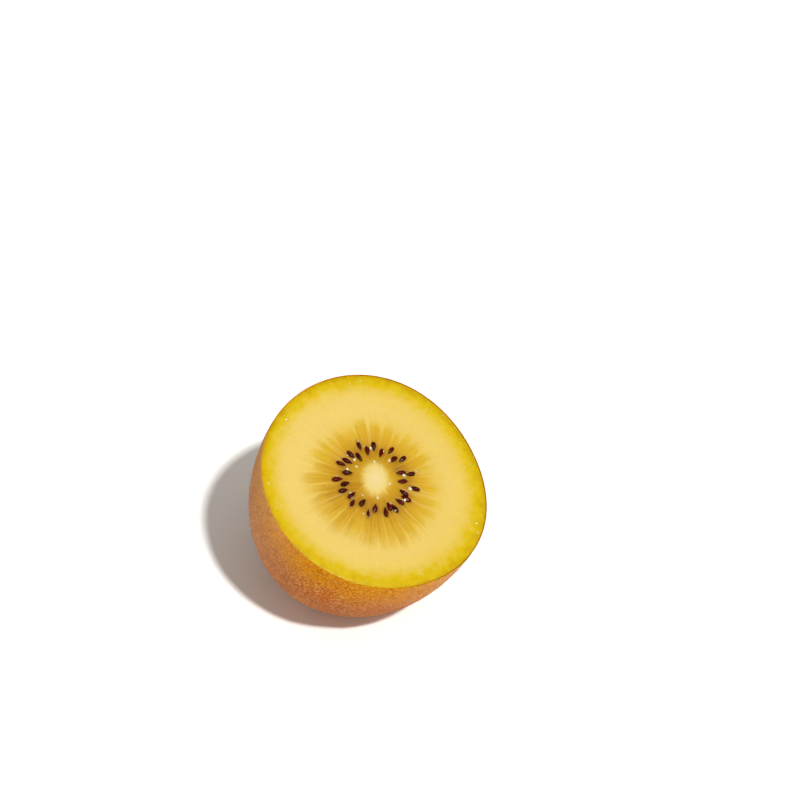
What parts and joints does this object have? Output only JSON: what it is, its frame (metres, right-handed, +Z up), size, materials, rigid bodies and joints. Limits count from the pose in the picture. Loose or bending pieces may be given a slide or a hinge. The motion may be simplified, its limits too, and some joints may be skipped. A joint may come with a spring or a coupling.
{
  "type": "golden kiwi fruit half",
  "caption": "Half of a yellow-fleshed kiwi fruit, cut across, with a ring of dark seeds round a pale core, lying on its brown skin.",
  "frame": {"origin": "middle of the object's box, on the surface that it rests on", "axes": "+Z up; the cut face looks up and leans 22 degrees over, towards +X and a little towards -Y; -Z is out of the flat spot that it rests on"},
  "size_m": [0.053, 0.0546, 0.0445],
  "materials": {
    "skin": "matte golden-brown skin with fine pale specks",
    "flesh": "moist golden-yellow flesh with a pale cream core",
    "seeds": "glossy dark purple-brown",
    "stem_scar": "dry, dark brown and corky"
  },
  "bodies": {
    "root": {"kiwi_half": "skin"}
  },
  "joints": []
}
